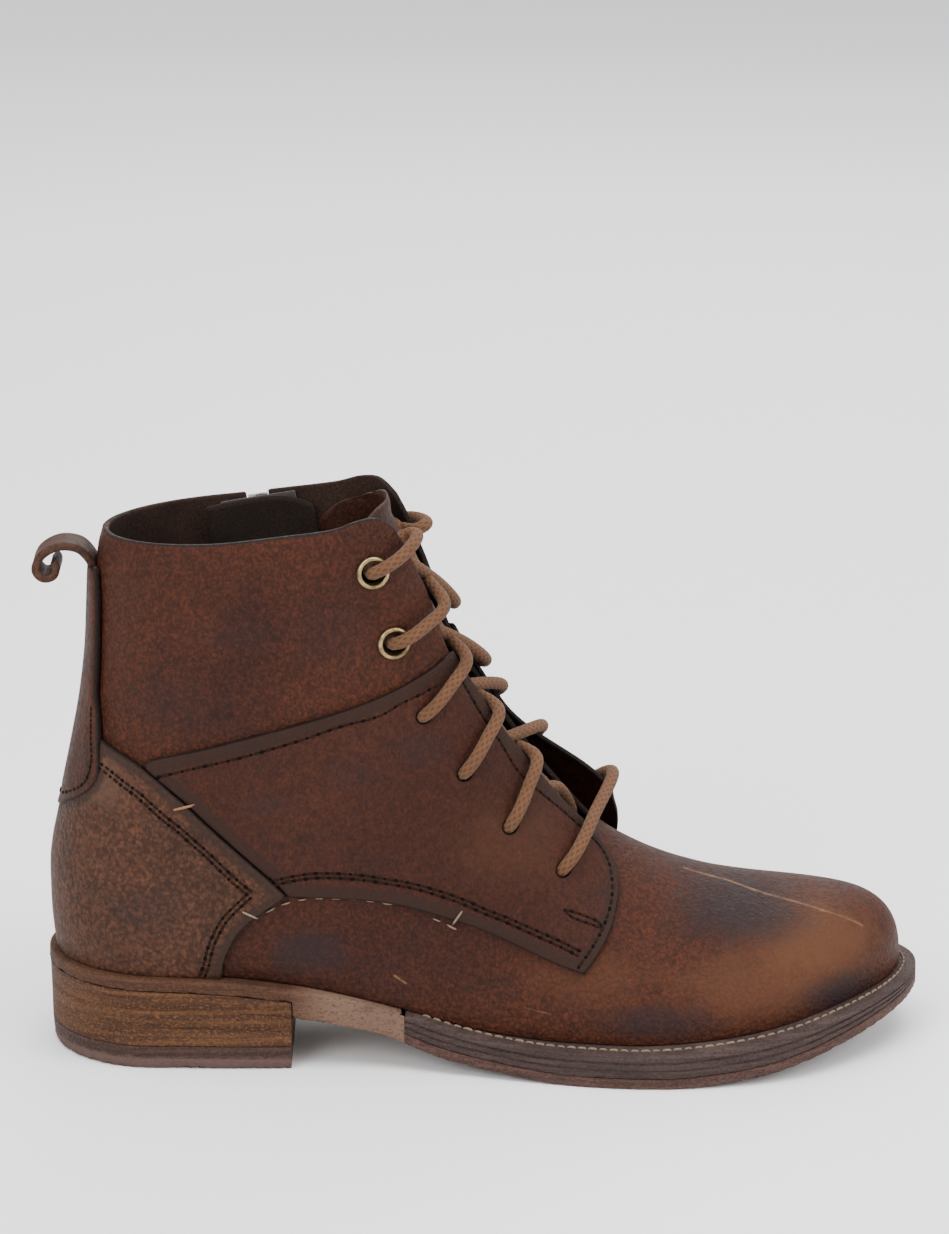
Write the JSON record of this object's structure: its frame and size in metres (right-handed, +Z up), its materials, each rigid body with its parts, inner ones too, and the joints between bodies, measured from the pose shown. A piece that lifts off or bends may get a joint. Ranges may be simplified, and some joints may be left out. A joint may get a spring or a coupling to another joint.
{
  "type": "ankle boot",
  "caption": "low-heeled lace-up ankle boot with a grooved welt sole, overlaid quarters and heel counter, back pull loop, eyelets in the cuff and a zip on the inner side",
  "frame": {"origin": "centre of the bounding box in plan, on the floor under the sole", "axes": "+X towards the toe along the sole, +Y towards the inner side of the foot, +Z up from the floor"},
  "size_m": [0.2776, 0.098, 0.1786],
  "materials": {
    "vamp_leather": "waxed nubuck, brown, worn at the toe",
    "quarter_leather": "waxed nubuck, brown",
    "counter_leather": "coarse scuffed nubuck, grey brown",
    "stay_leather": "waxed leather, dark brown",
    "tongue_leather": "soft leather, dark brown",
    "insole_leather": "lining leather, dark",
    "sole_leather": "sanded leather, tan, smudged",
    "heel_leather": "stacked layers, scuffed",
    "welt": "grooved edge, dark, stitched ledge",
    "heel_rubber": "matte",
    "lace": "round braided cotton, tan",
    "brass": "antique, dull",
    "zip_cloth": "woven tape",
    "zip_metal": "dull nickel"
  },
  "bodies": {
    "boot": {"outsole": "sole_leather", "midsole": "welt", "heel_stack": "heel_leather", "heel_top_lift": "heel_rubber", "insole": "insole_leather", "upper": "vamp_leather", "tongue": "tongue_leather", "heel_counter": "counter_leather", "quarter_lateral": "quarter_leather", "quarter_medial": "quarter_leather", "back_stay": "stay_leather", "pull_loop": "stay_leather", "eyelet_lateral_1": "brass", "eyelet_medial_1": "brass", "eyelet_lateral_2": "brass", "eyelet_medial_2": "brass", "lace_bar": "lace", "lace_crossing_1": "lace", "lace_crossing_2": "lace", "lace_crossing_3": "lace", "lace_crossing_4": "lace", "lace_crossing_5": "lace", "lace_end_lateral": "lace", "lace_end_medial": "lace", "zip_tape": "zip_cloth", "zip_guard": "tongue_leather", "zip_teeth": "zip_metal", "zip_slider": "zip_metal"},
    "pull_tab": {"zip_pull": "zip_metal"}
  },
  "joints": [
    {"name": "pull_tab_swing", "type": "hinge", "parent": "boot", "child": "pull_tab", "pos_m": [-0.06914, 0.03274, 0.16365], "axis": [0.9873, -0.0188, 0.1579], "range_deg": [0, 150]}
  ]
}
